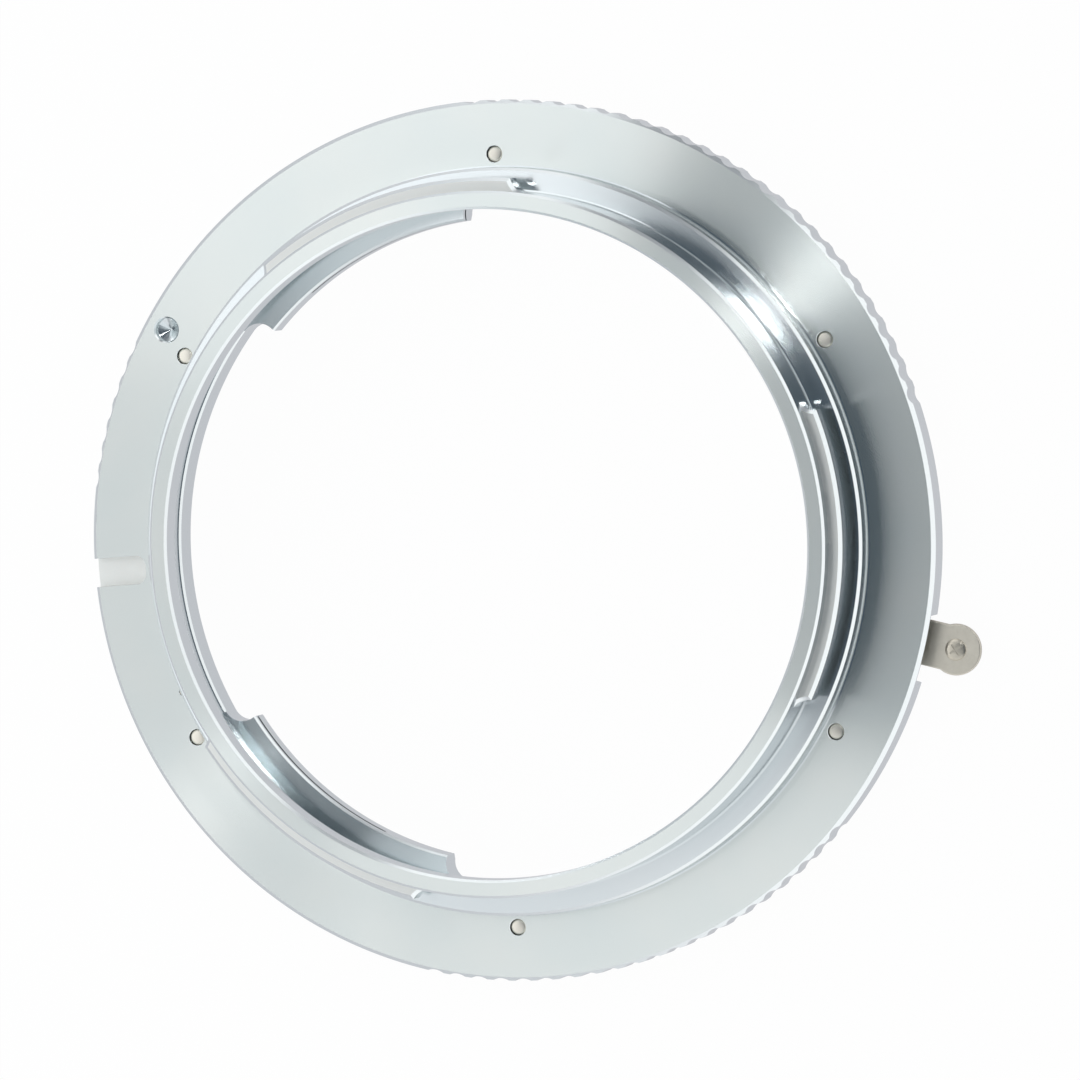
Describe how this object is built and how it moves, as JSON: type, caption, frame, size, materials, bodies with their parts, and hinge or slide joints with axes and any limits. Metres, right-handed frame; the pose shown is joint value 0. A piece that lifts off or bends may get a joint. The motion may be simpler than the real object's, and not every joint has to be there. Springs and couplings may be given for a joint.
{
  "type": "lens mount adapter",
  "caption": "bright-plated ring that mounts a bayonet lens on a camera, with scalloped rim, camera lugs, sprung lens lugs and a release lever",
  "frame": {"origin": "on the ring axis at the camera flange face", "axes": "+Z along the ring axis towards the camera, +X to the right and +Y up in the picture"},
  "size_m": [0.0667, 0.0636, 0.0091],
  "materials": {
    "plated_brass": "turned brass with bright satin plating",
    "screw_steel": "nickel-plated",
    "spring_steel": "stamped and deburred",
    "pin_steel": "turned and peened"
  },
  "bodies": {
    "ring": {"camera_ring": "plated_brass", "lens_ring": "plated_brass", "ring_screws": "screw_steel", "lever_rivet": "pin_steel", "locating_pin": "pin_steel"},
    "lever": {"release_lever": "spring_steel", "lock_pin": "pin_steel", "finger_post": "pin_steel"}
  },
  "joints": [
    {"name": "lever_flex", "type": "hinge", "parent": "ring", "child": "lever", "pos_m": [0.02533, 0.01128, -0.00175], "axis": [-0.9135, -0.4067, 0], "range_deg": [0, 2.8], "stiffness_Nm_per_rad": 0.6, "springref_deg": -1.72}
  ]
}
